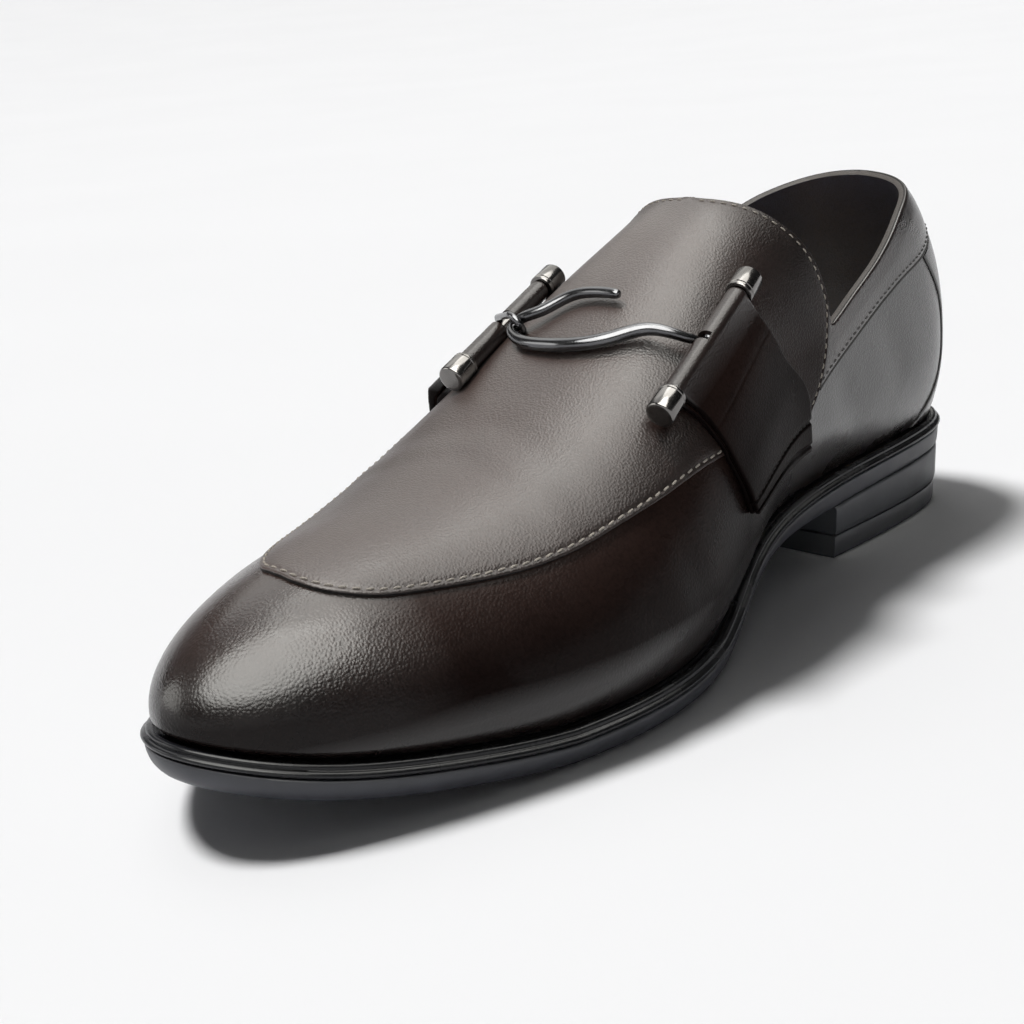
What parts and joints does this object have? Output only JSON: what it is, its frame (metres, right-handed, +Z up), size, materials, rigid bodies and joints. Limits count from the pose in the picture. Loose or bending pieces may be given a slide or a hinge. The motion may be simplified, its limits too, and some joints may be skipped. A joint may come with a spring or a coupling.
{
  "type": "bit loafer, right shoe",
  "caption": "Leather slip-on loafer with a raised apron and tongue, folded side straps, a metal hook-and-eye bit on bars, and a low-heeled rubber sole.",
  "frame": {"origin": "on the floor under the middle of the shoe's bounding box", "axes": "+Z up, -Y towards the toe, +Y towards the heel, +X towards the medial (inner) side of the foot"},
  "size_m": [0.1058, 0.3, 0.1096],
  "materials": {
    "upper_leather": "dark brown grained leather, burnished darker at the toe edge and low on the sides, waxed gloss",
    "strap_leather": "dark brown smooth leather, satin",
    "sole_rubber": "black moulded rubber, satin, with a glossy bead",
    "heel_rubber": "black moulded rubber, satin",
    "footbed": "mustard tan leather, matt",
    "gunmetal": "polished dark gunmetal plating"
  },
  "bodies": {
    "root": {"outsole": "sole_rubber", "welt": "sole_rubber", "heel_block": "heel_rubber", "heel_top_piece": "heel_rubber", "upper": "upper_leather", "insole": "footbed", "strap_medial": "strap_leather", "strap_lateral": "strap_leather", "bar_medial": "gunmetal", "bar_lateral": "gunmetal", "hook": "gunmetal", "eye": "gunmetal"}
  },
  "joints": []
}
